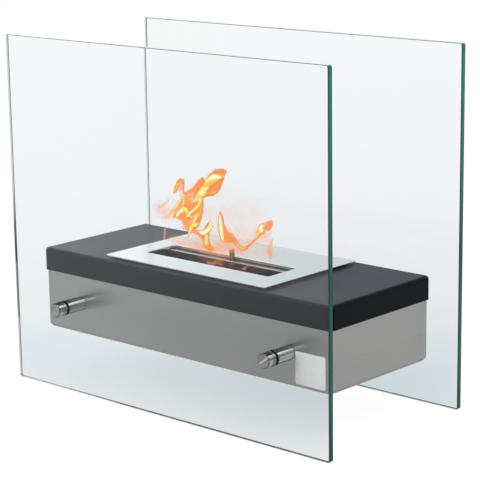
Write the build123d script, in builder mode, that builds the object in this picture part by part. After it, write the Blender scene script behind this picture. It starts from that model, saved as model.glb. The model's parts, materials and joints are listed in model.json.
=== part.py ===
from build123d import *
import os

# Table-top bioethanol fireplace: a stainless box with a black lid hangs between
# two glass panels on four standoffs; a drop-in burner with a sliding damper sits
# in the lid. Millimetres. X runs along the glass, Y from front to back, Z up,
# origin on the ground under the middle of the object.

os.makedirs("parts", exist_ok=True)

# ---------------------------------------------------------------- dimensions
# glass panels
glass_w = 350.0          # width of a panel
glass_h = 300.0          # height of a panel
glass_t = 5.0            # thickness
glass_outer = 170.0      # outer face of the front panel to outer face of the rear one
glass_corner_r = 2.0
glass_arris = 0.4        # ground edge
glass_hole_r = 5.0

# housing (folded and welded box)
box_l = 316.5
box_w = 121.0
box_z0 = 45.6            # underside of the bottom fold
box_z1 = 113.8           # top of the top fold
box_t = 1.0
box_fold_r = 1.5
box_fold_w = 12.0        # width of the inward folds, top and bottom

# base plate
base_t = 1.0
base_l = 314.7
base_w = 119.0

# lid
lid_l = 319.5
lid_w = 124.0
lid_t = 1.0
lid_z0 = 95.0            # lower edge of the skirt
lid_z1 = 114.8           # top face
lid_fold_r = 3.0
cut_x = 78.0             # half length of the cut-out
cut_y0, cut_y1 = -35.5, 46.5

# lid and base fasteners (M4)
m4_x = (-149.5, 0.0, 149.5)
m4_y = 53.0
m4_r = 2.0
m4_hole_r = 2.25
m4_nut_af = 7.0
m4_head_t = 0.9          # wafer head of the base screws

# standoffs (M6)
so_x = 117.0
so_z = 71.0
so_r = 6.0               # barrel and cap radius
stud_r = 2.95
so_bore_r = 3.2
box_bore_r = 3.3
gasket_t = 0.8
gasket_r = 6.3
washer_t = 1.0
washer_r = 6.5
cap_t = 7.0

# burner flange
fl_l = 178.4
fl_w = 112.0
fl_t = 0.9
fl_z0 = lid_z1
fl_z1 = 117.5
fl_corner_r = 1.5
fl_inset = 5.5           # the foot under the plate stands back from its edge
fl_foot_t = 1.0
mouth_l = 136.5
mouth_y0, mouth_y1 = -28.5, 6.5
mouth_lip_z = 115.3      # lower edge of the lip turned down round the mouth

# burner jacket and fuel cup
jk_x = 76.0
jk_y0, jk_y1 = -34.0, 45.0
jk_z0 = 66.0
jk_t = 0.8
cup_x = 71.0
cup_y0, cup_y1 = -32.0, 42.8
cup_z0 = 70.0
cup_t = 1.0
rim_z1 = 113.0           # top of the cup's rim, the ledge under the damper
rim_t = 1.0

# damper (rest position: open, at the rear)
dm_x = 73.8
dm_y0, dm_y1 = 0.5, 40.0
dm_z0 = 113.3
dm_t = 1.0
pin_y = 4.0
pin_r = 2.3
pin_top = 124.5
damper_travel = 30.0     # towards the front, closed
burner_lift = 60.0       # the burner lifts out of the lid

# absorbent pad and its screen
pad_z1 = 96.9
screen_t = 0.8

# blank label
label_w, label_h, label_t = 30.0, 26.2, 0.2
label_corner_r = 1.6
label_x0, label_z0 = 123.4, 47.2

face_y = box_w / 2                      # housing face
glass_in = glass_outer / 2 - glass_t    # inner glass face
glass_out = glass_outer / 2
cap_out = glass_out + washer_t + cap_t
jk_cy = (jk_y0 + jk_y1) / 2
cup_cy = (cup_y0 + cup_y1) / 2
mouth_cy = (mouth_y0 + mouth_y1) / 2
mouth_w = mouth_y1 - mouth_y0


def out(part, name):
    part.label = name
    export_step(part, f"parts/{name}.step")


# ---------------------------------------------------------------- glass panels
for name, y_back in (("glass_front", -glass_in), ("glass_rear", glass_out)):
    # the sketch plane faces -Y, so the panel grows towards the front
    with BuildPart() as glass:
        with BuildSketch(Plane(origin=(0, y_back, 0), x_dir=(1, 0, 0), z_dir=(0, -1, 0))) as s:
            with Locations((0, glass_h / 2)):
                RectangleRounded(glass_w, glass_h, glass_corner_r)
            with Locations((-so_x, so_z), (so_x, so_z)):
                Circle(glass_hole_r, mode=Mode.SUBTRACT)
        extrude(amount=glass_t)
        flat = glass.faces().filter_by(Axis.Y)
        rims = [e for f in flat for e in f.outer_wire().edges()]
        chamfer(rims, glass_arris)
    out(glass.part, name)

# ---------------------------------------------------------------- housing
with BuildPart() as housing:
    box_h = box_z1 - box_z0
    with Locations((0, 0, (box_z0 + box_z1) / 2)):
        Box(box_l, box_w, box_h)
    fillet(housing.edges(), box_fold_r)
    with BuildPart(mode=Mode.SUBTRACT) as hollow:
        with Locations((0, 0, (box_z0 + box_z1) / 2)):
            Box(box_l - 2 * box_t, box_w - 2 * box_t, box_h - 2 * box_t)
        fillet(hollow.edges(), box_fold_r - box_t)
    # windows inside the top and bottom folds
    with BuildSketch(Plane.XY.offset(box_z0 - 1)) as s:
        RectangleRounded(box_l - 2 * box_fold_w, box_w - 2 * box_fold_w, 4)
    extrude(amount=box_h + 2, mode=Mode.SUBTRACT)
    # holes for the lid studs and the base screws
    with BuildSketch(Plane.XY.offset(box_z0 - 1)) as s:
        with Locations(*[(x, y) for x in m4_x for y in (-m4_y, m4_y)]):
            Circle(m4_hole_r)
    extrude(amount=box_h + 2, mode=Mode.SUBTRACT)
    # standoff holes through both long walls
    with BuildSketch(Plane(origin=(0, face_y + 1, 0), x_dir=(1, 0, 0), z_dir=(0, -1, 0))) as s:
        with Locations((-so_x, so_z), (so_x, so_z)):
            Circle(box_bore_r)
    extrude(amount=box_w + 2, mode=Mode.SUBTRACT)
out(housing.part, "housing_shell")

# ---------------------------------------------------------------- base plate
with BuildPart() as base:
    with BuildSketch(Plane.XY.offset(box_z0 - base_t)) as s:
        RectangleRounded(base_l, base_w, 3)
        with Locations(*[(x, y) for x in m4_x for y in (-m4_y, m4_y)]):
            Circle(m4_hole_r, mode=Mode.SUBTRACT)
        # air slots under the burner
        with GridLocations(16, 0, 9, 1):
            SlotOverall(40, 5, rotation=90, mode=Mode.SUBTRACT)
    extrude(amount=base_t)
out(base.part, "base_plate")

# wafer-head screws from below
with BuildPart() as base_screws:
    for x in m4_x:
        for y in (-m4_y, m4_y):
            with BuildSketch(Plane.XY.offset(box_z0 - base_t)) as s:
                with Locations((x, y)):
                    Circle(m4_r)
            extrude(amount=8.0)
            with BuildSketch(Plane.XY.offset(box_z0 - base_t - m4_head_t)) as s:
                with Locations((x, y)):
                    Circle(4.0)
            extrude(amount=m4_head_t)
    heads = base_screws.edges().filter_by(GeomType.CIRCLE).group_by(Axis.Z)[0]
    fillet(heads, 0.5)
    # cross recess
    with BuildSketch(Plane.XY.offset(box_z0 - base_t - m4_head_t)) as s:
        for x in m4_x:
            for y in (-m4_y, m4_y):
                with Locations((x, y)):
                    Rectangle(4.0, 0.9)
                    Rectangle(0.9, 4.0)
    extrude(amount=0.6, mode=Mode.SUBTRACT)
out(base_screws.part, "base_screws")

with BuildPart() as base_nuts:
    with BuildSketch(Plane.XY.offset(box_z0 + box_t)) as s:
        with Locations(*[(x, y) for x in m4_x for y in (-m4_y, m4_y)]):
            RegularPolygon(m4_nut_af / 2, 6, major_radius=False)
            Circle(m4_r + 0.05, mode=Mode.SUBTRACT)
    extrude(amount=3.2)
out(base_nuts.part, "base_nuts")

# ---------------------------------------------------------------- lid
with BuildPart() as lid:
    lid_h = lid_z1 - lid_z0
    with Locations((0, 0, (lid_z0 + lid_z1) / 2)):
        Box(lid_l, lid_w, lid_h)
    fillet(lid.edges().filter_by(Axis.Z) + lid.edges().group_by(Axis.Z)[-1], lid_fold_r)
    with BuildPart(mode=Mode.SUBTRACT) as lid_hollow:
        with Locations((0, 0, (lid_z0 - 5 + lid_z1 - lid_t) / 2)):
            Box(lid_l - 2 * lid_t, lid_w - 2 * lid_t, lid_h - lid_t + 5)
        fillet(lid_hollow.edges().filter_by(Axis.Z) + lid_hollow.edges().group_by(Axis.Z)[-1], lid_fold_r - lid_t)
    with BuildSketch(Plane.XY.offset(lid_z1 - 5)) as s:
        with Locations((0, (cut_y0 + cut_y1) / 2)):
            RectangleRounded(2 * cut_x, cut_y1 - cut_y0, 4)
    extrude(amount=10, mode=Mode.SUBTRACT)
out(lid.part, "lid")

# studs welded to the lid's underside, through the housing's top fold
with BuildPart() as lid_studs:
    with BuildSketch(Plane.XY.offset(lid_z1 - lid_t)) as s:
        with Locations(*[(x, y) for x in m4_x for y in (-m4_y, m4_y)]):
            Circle(m4_r)
    extrude(amount=-8.0)
    chamfer(lid_studs.edges().group_by(Axis.Z)[0], 0.4)
out(lid_studs.part, "lid_studs")

with BuildPart() as lid_nuts:
    with BuildSketch(Plane.XY.offset(box_z1 - box_t)) as s:
        with Locations(*[(x, y) for x in m4_x for y in (-m4_y, m4_y)]):
            RegularPolygon(m4_nut_af / 2, 6, major_radius=False)
            Circle(m4_r + 0.05, mode=Mode.SUBTRACT)
    extrude(amount=-3.2)
out(lid_nuts.part, "lid_nuts")

# ---------------------------------------------------------------- standoffs
# Each kind is drawn on a plane that faces outwards (-Y at the front, +Y at the
# rear), so one profile serves both sides.
spots = []
for side in (-1, 1):
    for x in (-so_x, so_x):
        spots.append((side, x))


def outward(side, x, y):
    return Plane(origin=(x, side * y, so_z), x_dir=(1, 0, 0), z_dir=(0, side, 0))


with BuildPart() as barrels:
    for side, x in spots:
        with BuildSketch(outward(side, x, face_y)) as s:
            Circle(so_r)
            Circle(so_bore_r, mode=Mode.SUBTRACT)
        extrude(amount=glass_in - gasket_t - face_y)
    rims = [e for e in barrels.edges().filter_by(GeomType.CIRCLE) if e.radius > so_r - 0.01]
    fillet(rims, 0.5)
out(barrels.part, "standoff_barrels")

with BuildPart() as gaskets:
    for side, x in spots:
        with BuildSketch(outward(side, x, glass_in - gasket_t)) as s:
            Circle(gasket_r)
            Circle(so_bore_r, mode=Mode.SUBTRACT)
        extrude(amount=gasket_t)
    rims = [e for e in gaskets.edges().filter_by(GeomType.CIRCLE) if e.radius > gasket_r - 0.01]
    fillet(rims, 0.2)
out(gaskets.part, "standoff_gaskets")

with BuildPart() as bushes:
    for side, x in spots:
        with BuildSketch(outward(side, x, glass_in)) as s:
            Circle(glass_hole_r - 0.1)
            Circle(so_bore_r - 0.1, mode=Mode.SUBTRACT)
        extrude(amount=glass_t)
out(bushes.part, "glass_bushes")

with BuildPart() as washers:
    for side, x in spots:
        with BuildSketch(outward(side, x, glass_out)) as s:
            Circle(washer_r)
            Circle(so_bore_r, mode=Mode.SUBTRACT)
        extrude(amount=washer_t)
    rims = [e for e in washers.edges().filter_by(GeomType.CIRCLE) if e.radius > washer_r - 0.01]
    fillet(rims, 0.3)
out(washers.part, "cap_washers")

with BuildPart() as caps:
    for side, x in spots:
        y0 = glass_out + washer_t
        with BuildSketch(outward(side, x, y0)) as s:
            Circle(so_r)
        extrude(amount=cap_t)
        # shallow groove near the washer, and the blind thread
        with BuildSketch(outward(side, x, y0 + 0.8)) as s:
            Circle(so_r + 1)
            Circle(so_r - 0.5, mode=Mode.SUBTRACT)
        extrude(amount=0.7, mode=Mode.SUBTRACT)
        with BuildSketch(outward(side, x, y0)) as s:
            Circle(stud_r + 0.05)
        extrude(amount=cap_t - 1.5, mode=Mode.SUBTRACT)
    ends = [e for e in caps.edges().filter_by(GeomType.CIRCLE)
            if e.radius > so_r - 0.01 and abs(abs(e.center().Y) - cap_out) < 0.01]
    chamfer(ends, 0.7)
out(caps.part, "standoff_caps")

with BuildPart() as studs:
    for side, x in spots:
        with BuildSketch(outward(side, x, face_y - 8)) as s:
            Circle(stud_r)
        extrude(amount=(glass_out + washer_t + cap_t - 1.8) - (face_y - 8))
out(studs.part, "standoff_studs")

with BuildPart() as weld_nuts:
    for side, x in spots:
        with BuildSketch(outward(side, x, face_y - box_t - 5)) as s:
            RegularPolygon(5.0, 6, major_radius=False)
            Circle(stud_r + 0.05, mode=Mode.SUBTRACT)
        extrude(amount=5.0)
out(weld_nuts.part, "weld_nuts")

# ---------------------------------------------------------------- blank label
with BuildPart() as label:
    with BuildSketch(Plane(origin=(0, -face_y, 0), x_dir=(1, 0, 0), z_dir=(0, -1, 0))) as s:
        with Locations((label_x0 + label_w / 2, label_z0 + label_h / 2)):
            RectangleRounded(label_w, label_h, label_corner_r)
    extrude(amount=label_t)
out(label.part, "blank_label")

# ---------------------------------------------------------------- burner flange
with BuildPart() as flange:
    with BuildSketch(Plane.XY.offset(fl_z1 - fl_t)) as s:
        RectangleRounded(fl_l, fl_w, fl_corner_r)
    extrude(amount=fl_t)
    fillet(flange.edges().group_by(Axis.Z)[-1], 0.35)
    # foot that rests on the lid, set back so that the plate overhangs it
    with BuildSketch(Plane.XY.offset(fl_z0)) as s:
        RectangleRounded(fl_l - 2 * fl_inset, fl_w - 2 * fl_inset, 3.0)
        RectangleRounded(fl_l - 2 * fl_inset - 2 * fl_foot_t, fl_w - 2 * fl_inset - 2 * fl_foot_t, 2.0, mode=Mode.SUBTRACT)
    extrude(amount=fl_z1 - fl_t - fl_z0)
    # lip turned down round the mouth
    with BuildSketch(Plane.XY.offset(mouth_lip_z)) as s:
        with Locations((0, mouth_cy)):
            RectangleRounded(mouth_l + 2 * fl_t, mouth_w + 2 * fl_t, 1.6)
    extrude(amount=fl_z1 - fl_t - mouth_lip_z)
    with BuildSketch(Plane.XY.offset(fl_z0 - 1)) as s:
        with Locations((0, mouth_cy)):
            RectangleRounded(mouth_l, mouth_w, 0.8)
    extrude(amount=fl_z1 - fl_z0 + 2, mode=Mode.SUBTRACT)
    mouth_rim = [e for e in flange.edges().group_by(Axis.Z)[-1]
                 if abs(e.center().X) < mouth_l / 2 + 0.5 and mouth_y0 - 0.5 < e.center().Y < mouth_y1 + 0.5]
    fillet(mouth_rim, 0.5)
out(flange.part, "burner_flange")

# ---------------------------------------------------------------- burner jacket
with BuildPart() as jacket:
    jk_h = fl_z1 - fl_t - jk_z0
    with Locations((0, jk_cy, jk_z0 + jk_h / 2)):
        Box(2 * jk_x, jk_y1 - jk_y0, jk_h)
    fillet(jacket.edges().filter_by(Axis.Z) + jacket.edges().group_by(Axis.Z)[0], 3)
    with BuildPart(mode=Mode.SUBTRACT) as jacket_hollow:
        with Locations((0, jk_cy, jk_z0 + jk_t + jk_h / 2)):
            Box(2 * (jk_x - jk_t), jk_y1 - jk_y0 - 2 * jk_t, jk_h)
        fillet(jacket_hollow.edges().filter_by(Axis.Z) + jacket_hollow.edges().group_by(Axis.Z)[0], 3 - jk_t)
out(jacket.part, "burner_jacket")

# ---------------------------------------------------------------- fuel cup
with BuildPart() as cup:
    cup_h = rim_z1 - cup_z0
    with Locations((0, cup_cy, cup_z0 + cup_h / 2)):
        Box(2 * cup_x, cup_y1 - cup_y0, cup_h)
    fillet(cup.edges().filter_by(Axis.Z) + cup.edges().group_by(Axis.Z)[0], 3)
    # rim that reaches the jacket all round
    with BuildSketch(Plane.XY.offset(rim_z1 - rim_t)) as s:
        with Locations((0, jk_cy)):
            RectangleRounded(2 * (jk_x - jk_t), jk_y1 - jk_y0 - 2 * jk_t, 3 - jk_t)
    extrude(amount=rim_t)
    with BuildPart(mode=Mode.SUBTRACT) as cup_hollow:
        with Locations((0, cup_cy, cup_z0 + cup_t + cup_h / 2)):
            Box(2 * (cup_x - cup_t), cup_y1 - cup_y0 - 2 * cup_t, cup_h)
        fillet(cup_hollow.edges().filter_by(Axis.Z) + cup_hollow.edges().group_by(Axis.Z)[0], 2)
out(cup.part, "fuel_cup")

# ---------------------------------------------------------------- pad and screen
with BuildPart() as pad:
    pad_x = cup_x - cup_t - 0.5
    pad_y0, pad_y1 = cup_y0 + cup_t + 0.5, cup_y1 - cup_t - 0.5
    with Locations((0, cup_cy, (cup_z0 + cup_t + pad_z1) / 2)):
        Box(2 * pad_x, pad_y1 - pad_y0, pad_z1 - cup_z0 - cup_t)
    fillet(pad.edges().filter_by(Axis.Z) + pad.edges().group_by(Axis.Z)[0], 2.5)
out(pad.part, "fibre_pad")

with BuildPart() as screen:
    with BuildSketch(Plane.XY.offset(pad_z1)) as s:
        with Locations((0, cup_cy)):
            RectangleRounded(2 * pad_x, pad_y1 - pad_y0, 2)
            with GridLocations(8.5, 8.5, 16, 8):
                Circle(2.0, mode=Mode.SUBTRACT)
    extrude(amount=screen_t)
out(screen.part, "pad_screen")

# ---------------------------------------------------------------- damper guides
with BuildPart() as guides:
    for side in (-1, 1):
        with BuildSketch(Plane(origin=(0, jk_y0 + 4, 0), x_dir=(1, 0, 0), z_dir=(0, -1, 0))) as s:
            web = jk_x - jk_t - 0.5
            leg = dm_z0 + dm_t + 1.2
            top = fl_z1 - fl_t
            with Locations((side * web, (rim_z1 + top) / 2)):
                Rectangle(1.0, top - rim_z1)
            with Locations((side * (web - 1.8), (leg + top) / 2)):
                Rectangle(4.6, top - leg)
        extrude(amount=-(jk_y1 - jk_y0 - 8))
out(guides.part, "damper_guides")

# ---------------------------------------------------------------- damper
with BuildPart() as damper:
    with BuildSketch(Plane.XY.offset(dm_z0)) as s:
        with Locations((0, (dm_y0 + dm_y1) / 2)):
            RectangleRounded(2 * dm_x, dm_y1 - dm_y0, 1.0)
        with Locations((0, pin_y)):
            Circle(1.55, mode=Mode.SUBTRACT)
    extrude(amount=dm_t)
    front = damper.faces().sort_by(Axis.Y)[0]
    fillet(front.edges().filter_by(Axis.X), 0.35)
out(damper.part, "damper_plate")

with BuildPart() as pin:
    with BuildSketch(Plane.XY.offset(dm_z0 + dm_t)) as s:
        with Locations((0, pin_y)):
            Circle(pin_r)
    extrude(amount=pin_top - dm_z0 - dm_t)
    fillet(pin.edges().group_by(Axis.Z)[-1], 0.6)
    with BuildSketch(Plane.XY.offset(dm_z0 + dm_t)) as s:
        with Locations((0, pin_y)):
            Circle(1.5)
    extrude(amount=-(dm_t + 2.8))
out(pin.part, "damper_pin")

with BuildPart() as pin_nut:
    with BuildSketch(Plane.XY.offset(dm_z0)) as s:
        with Locations((0, pin_y)):
            RegularPolygon(2.75, 6, major_radius=False)
            Circle(1.55, mode=Mode.SUBTRACT)
    extrude(amount=-2.4)
out(pin_nut.part, "damper_nut")
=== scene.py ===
import json
import math
import random

import bpy
import bmesh
import numpy as np
from mathutils import Matrix, Vector, noise

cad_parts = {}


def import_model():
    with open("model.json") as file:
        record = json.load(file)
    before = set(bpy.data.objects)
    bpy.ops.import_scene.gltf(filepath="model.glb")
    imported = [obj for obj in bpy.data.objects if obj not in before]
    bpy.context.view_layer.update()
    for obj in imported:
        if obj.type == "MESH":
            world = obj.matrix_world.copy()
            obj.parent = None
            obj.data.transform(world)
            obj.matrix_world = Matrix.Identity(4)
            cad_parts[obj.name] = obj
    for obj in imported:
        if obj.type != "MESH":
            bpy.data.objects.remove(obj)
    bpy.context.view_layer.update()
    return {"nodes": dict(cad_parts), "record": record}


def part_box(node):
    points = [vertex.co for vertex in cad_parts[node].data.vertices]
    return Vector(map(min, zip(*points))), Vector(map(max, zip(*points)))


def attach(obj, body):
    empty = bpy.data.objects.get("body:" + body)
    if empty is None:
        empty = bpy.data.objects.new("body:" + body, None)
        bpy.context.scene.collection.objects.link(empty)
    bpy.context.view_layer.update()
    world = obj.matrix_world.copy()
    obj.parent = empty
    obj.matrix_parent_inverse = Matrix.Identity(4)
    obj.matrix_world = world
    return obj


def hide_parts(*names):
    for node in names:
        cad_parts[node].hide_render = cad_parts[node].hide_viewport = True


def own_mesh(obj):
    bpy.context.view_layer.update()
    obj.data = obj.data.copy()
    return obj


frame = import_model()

nodes = frame["nodes"]
scene = bpy.context.scene
MM = 0.001
PANEL_Y = (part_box("glass_rear")[0].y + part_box("glass_rear")[1].y) / 2   # middle of a panel's thickness
random.seed(7)

# ------------------------------------------------------------------ node helpers


def new_material(name):
    m = bpy.data.materials.new(name)
    m.use_nodes = True
    m.node_tree.nodes.clear()
    return m, m.node_tree


def add(t, kind, ins=None, **attrs):
    x = t.nodes.new(kind)
    for k, v in attrs.items():
        setattr(x, k, v)
    for k, v in (ins or {}).items():
        if isinstance(v, bpy.types.NodeSocket):
            t.links.new(v, x.inputs[k])
        else:
            x.inputs[k].default_value = v
    return x


def rgb(c):
    return (c[0], c[1], c[2], 1.0)


def math_node(t, op, a, b=0.0, c=0.0, clamp=False):
    x = add(t, "ShaderNodeMath", {0: a, 1: b, 2: c}, operation=op, use_clamp=clamp)
    return x.outputs[0]


def mix_rgb(t, fac, a, b, blend="MIX"):
    x = add(t, "ShaderNodeMix", data_type="RGBA", blend_type=blend)
    for i, v in ((0, fac), (6, a), (7, b)):
        if isinstance(v, bpy.types.NodeSocket):
            t.links.new(v, x.inputs[i])
        else:
            x.inputs[i].default_value = rgb(v) if i else v
    return x.outputs[2]


def map_range(t, v, a, b, c, d, clamp=True, smooth=False):
    x = add(t, "ShaderNodeMapRange", {"Value": v, "From Min": a, "From Max": b, "To Min": c, "To Max": d},
            clamp=clamp, interpolation_type="SMOOTHSTEP" if smooth else "LINEAR")
    return x.outputs["Result"]


def noise_tex(t, vec, scale, detail=3.0, rough=0.6, distortion=0.0):
    return add(t, "ShaderNodeTexNoise", {"Vector": vec, "Scale": scale, "Detail": detail, "Roughness": rough,
                                         "Distortion": distortion}, noise_dimensions="3D").outputs[0]


def ramp(t, fac, stops):
    x = add(t, "ShaderNodeValToRGB", {0: fac})
    e = x.color_ramp.elements
    while len(e) < len(stops):
        e.new(0.5)
    for i, (p, c) in enumerate(stops):
        e[i].position = p
        e[i].color = rgb(c)
    return x.outputs[0]


def object_coords(t):
    return add(t, "ShaderNodeTexCoord").outputs["Object"]


def scaled(t, vec, s, loc=(0, 0, 0)):
    return add(t, "ShaderNodeMapping", {"Vector": vec, "Scale": s, "Location": loc}).outputs[0]


def finish_material(t, bsdf, extra=None):
    out = add(t, "ShaderNodeOutputMaterial")
    t.links.new((extra or bsdf).outputs[0], out.inputs[0])


def principled(t, ins):
    return add(t, "ShaderNodeBsdfPrincipled", ins)


# ------------------------------------------------------------------ materials


def brushed(name, color, rough, streak, contrast=0.07, rough_var=0.05, bump=0.12, aniso=0.0, tangent=None,
            tint_and_painted_light=None, turned=False, patchy=0.25):
    """Metal with brush lines. streak is the noise scale along x, y and z, per metre: low along the lines, high across."""
    m, t = new_material(name)
    co = object_coords(t)
    if turned:  # lines round the axis of each standoff, which runs along Y at |x| = 117, z = 71
        s = add(t, "ShaderNodeSeparateXYZ", {0: co})
        dx = math_node(t, "SUBTRACT", math_node(t, "ABSOLUTE", s.outputs[0]), 117 * MM)
        dz = math_node(t, "SUBTRACT", s.outputs[2], 71 * MM)
        r = math_node(t, "SQRT", math_node(t, "ADD", math_node(t, "MULTIPLY", dx, dx), math_node(t, "MULTIPLY", dz, dz)))
        vec = add(t, "ShaderNodeCombineXYZ", {0: r, 1: s.outputs[1], 2: 0.0}).outputs[0]
        base_vec = vec
    else:
        base_vec = co
    fine = noise_tex(t, scaled(t, base_vec, streak), 1.0, 3.0, 0.65)
    broad = noise_tex(t, scaled(t, base_vec, tuple(v * 0.2 for v in streak), (3, 7, 1)), 1.0, 2.0, 0.5)
    patch = noise_tex(t, co, 16.0, 3.0, 0.55)
    v = math_node(t, "ADD", math_node(t, "MULTIPLY", fine, 0.7), math_node(t, "MULTIPLY", broad, 0.3))
    v = math_node(t, "ADD", math_node(t, "MULTIPLY", v, 1.0 - patchy), math_node(t, "MULTIPLY", patch, patchy))
    lo = [c * (1 - contrast) for c in color]
    hi = [min(1.0, c * (1 + contrast)) for c in color]
    col = ramp(t, map_range(t, v, 0.36, 0.64, 0, 1), [(0, lo), (1, hi)])
    # adds heat colours on the burner, and painted reflections on the turned parts and the pin
    if tint_and_painted_light:
        col = tint_and_painted_light(t, co, col)
    rr = map_range(t, v, 0.35, 0.65, rough + rough_var, rough - rough_var)
    bp = add(t, "ShaderNodeBump", {"Height": fine, "Strength": bump, "Distance": 0.00004})
    b = principled(t, {"Base Color": col, "Metallic": 1.0, "Roughness": rr, "Normal": bp.outputs[0]})
    b.inputs["Anisotropic"].default_value = aniso
    if aniso and tangent is not None:
        if turned:  # rough across the turning lines: outwards on the face, lengthwise on the side
            out = math_node(t, "MULTIPLY", dx, math_node(t, "SIGN", s.outputs[0]))
            tv = add(t, "ShaderNodeCombineXYZ", {0: out, 1: 6 * MM, 2: dz})
            nrm = add(t, "ShaderNodeVectorMath", {0: tv.outputs[0]}, operation="NORMALIZE")
            t.links.new(nrm.outputs[0], b.inputs["Tangent"])
        elif tangent == "round":  # level lines on upright faces
            g = add(t, "ShaderNodeNewGeometry")
            up = add(t, "ShaderNodeVectorMath", {0: g.outputs["Normal"], 1: (0.001, 0.0, 1.0)}, operation="CROSS_PRODUCT")
            nrm = add(t, "ShaderNodeVectorMath", {0: up.outputs[0]}, operation="NORMALIZE")
            t.links.new(nrm.outputs[0], b.inputs["Tangent"])
        else:
            tv = add(t, "ShaderNodeCombineXYZ", {0: tangent[0], 1: tangent[1], 2: tangent[2]})
            t.links.new(tv.outputs[0], b.inputs["Tangent"])
    finish_material(t, b)
    return m


def heat_tint(t, co, col):
    """Straw to brown to faint blue heat colours of a burner, in soft patches."""
    n = noise_tex(t, co, 30.0, 4.0, 0.6)
    n2 = noise_tex(t, scaled(t, co, (1, 1, 1), (5, 2, 9)), 55.0, 3.0, 0.6)
    warm = ramp(t, n, [(0.30, (0.42, 0.38, 0.33)), (0.50, (0.62, 0.58, 0.53)), (0.62, (0.53, 0.51, 0.50)), (0.75, (0.42, 0.43, 0.47))])
    c = mix_rgb(t, 0.75, col, warm, "MULTIPLY")
    return mix_rgb(t, map_range(t, n2, 0.5, 0.72, 0.0, 0.55), c, (0.05, 0.042, 0.036))


def painted_turned_reflections(t, co, col):
    """Painted reflections of a soft studio on a turned part: painted dark along its top line, a painted bright band
    below it, painted grey on its flat face with a painted bright ray.
    """
    g = add(t, "ShaderNodeNewGeometry")
    s = add(t, "ShaderNodeSeparateXYZ", {0: g.outputs["Normal"]})
    # the base colour is painted darker and lighter by how far the surface faces up: painted reflections
    k = map_range(t, s.outputs[2], -1.0, 1.0, 0.0, 1.0)
    v = [(0.0, 0.30), (0.20, 0.34), (0.26, 0.80), (0.335, 0.80), (0.375, 0.52), (0.50, 0.56), (0.70, 0.56), (0.735, 1.0),
         (0.86, 1.0), (0.885, 0.10), (1.0, 0.07)]
    face = math_node(t, "ABSOLUTE", s.outputs[1])
    col = mix_rgb(t, 1.0, col, ramp(t, k, [(p, (c, c, c)) for p, c in v]), "MULTIPLY")
    slope = map_range(t, face, 0.15, 0.30, 0.0, 1.0)                              # the chamfers are painted darker to damp their highlight: painted shade
    slope = math_node(t, "MULTIPLY", slope, map_range(t, face, 0.90, 0.97, 1.0, 0.0))
    chamfer_painted_shade = math_node(t, "MULTIPLY", slope, map_range(t, s.outputs[0], 0.3, 0.6, 0.955, 0.60))
    chamfer_painted_shade = math_node(t, "SUBTRACT", 1.0, chamfer_painted_shade)
    col = mix_rgb(t, 1.0, col, add(t, "ShaderNodeCombineXYZ", {0: chamfer_painted_shade, 1: chamfer_painted_shade, 2: chamfer_painted_shade}).outputs[0], "MULTIPLY")
    p = add(t, "ShaderNodeSeparateXYZ", {0: co})
    dx = math_node(t, "SUBTRACT", p.outputs[0], math_node(t, "MULTIPLY", math_node(t, "SIGN", p.outputs[0]), 117 * MM))
    dz = math_node(t, "SUBTRACT", p.outputs[2], 71 * MM)
    c, q = math.cos(math.radians(36)), math.sin(math.radians(36))
    # a painted bright ray across each flat face: painted highlight
    off = math_node(t, "SUBTRACT", math_node(t, "MULTIPLY", dz, c), math_node(t, "MULTIPLY", dx, q))
    painted_ray_highlight = map_range(t, math_node(t, "ABSOLUTE", off), 0.35 * MM, 1.1 * MM, 0.42, 0.0, smooth=True)
    painted_ray_highlight = math_node(t, "MULTIPLY", painted_ray_highlight, map_range(t, p.outputs[0], -0.1, 0.1, 0.15, 1.0))
    # one half of each flat face is painted darker: painted shade
    half = map_range(t, off, -2.0 * MM, 2.0 * MM, -0.12, -0.19)
    extra = math_node(t, "MULTIPLY", math_node(t, "ADD", painted_ray_highlight, half), math_node(t, "GREATER_THAN", face, 0.97))
    return mix_rgb(t, 1.0, col, add(t, "ShaderNodeCombineXYZ", {0: extra, 1: extra, 2: extra}).outputs[0], "ADD")


def powder_coat(name, color, rough, ior=1.35):
    m, t = new_material(name)
    co = object_coords(t)
    grain = noise_tex(t, co, 1500.0, 2.0, 0.5)
    peel = noise_tex(t, co, 420.0, 2.0, 0.5)
    patch = noise_tex(t, co, 22.0, 4.0, 0.6)
    h = math_node(t, "ADD", math_node(t, "MULTIPLY", grain, 0.6), math_node(t, "MULTIPLY", peel, 0.6))
    bp = add(t, "ShaderNodeBump", {"Height": h, "Strength": 0.03, "Distance": 0.00008})
    v = math_node(t, "ADD", math_node(t, "MULTIPLY", patch, 0.85), math_node(t, "MULTIPLY", noise_tex(t, co, 120.0, 3.0, 0.5), 0.15))
    col = ramp(t, map_range(t, v, 0.35, 0.65, 0, 1), [(0, [c * 0.92 for c in color]), (1, [c * 1.10 for c in color])])
    rr = map_range(t, v, 0.35, 0.65, rough - 0.015, rough + 0.02)
    g = add(t, "ShaderNodeNewGeometry")
    side = math_node(t, "ABSOLUTE", add(t, "ShaderNodeSeparateXYZ", {0: g.outputs["Normal"]}).outputs[0])
    up = add(t, "ShaderNodeSeparateXYZ", {0: g.outputs["Normal"]}).outputs[2]
    col = mix_rgb(t, map_range(t, up, 0.7, 0.95, 0.0, 1.0), col, mix_rgb(t, 1.0, col, (0.007, 0.0075, 0.0085), "ADD"))  # the top face is painted lighter: painted light
    col = mix_rgb(t, map_range(t, side, 0.6, 0.95, 0.0, 0.8), col, (0.0012, 0.0012, 0.0014))     # the ends are in shade
    b = principled(t, {"Base Color": col, "Roughness": rr, "Normal": bp.outputs[0], "IOR": ior,
                       "Specular Tint": (0.84, 0.915, 1.0, 1.0), "Sheen Weight": 0.03, "Sheen Roughness": 0.5, "Sheen Tint": (0.45, 0.68, 1.0, 1.0)})
    finish_material(t, b)
    return m


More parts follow.
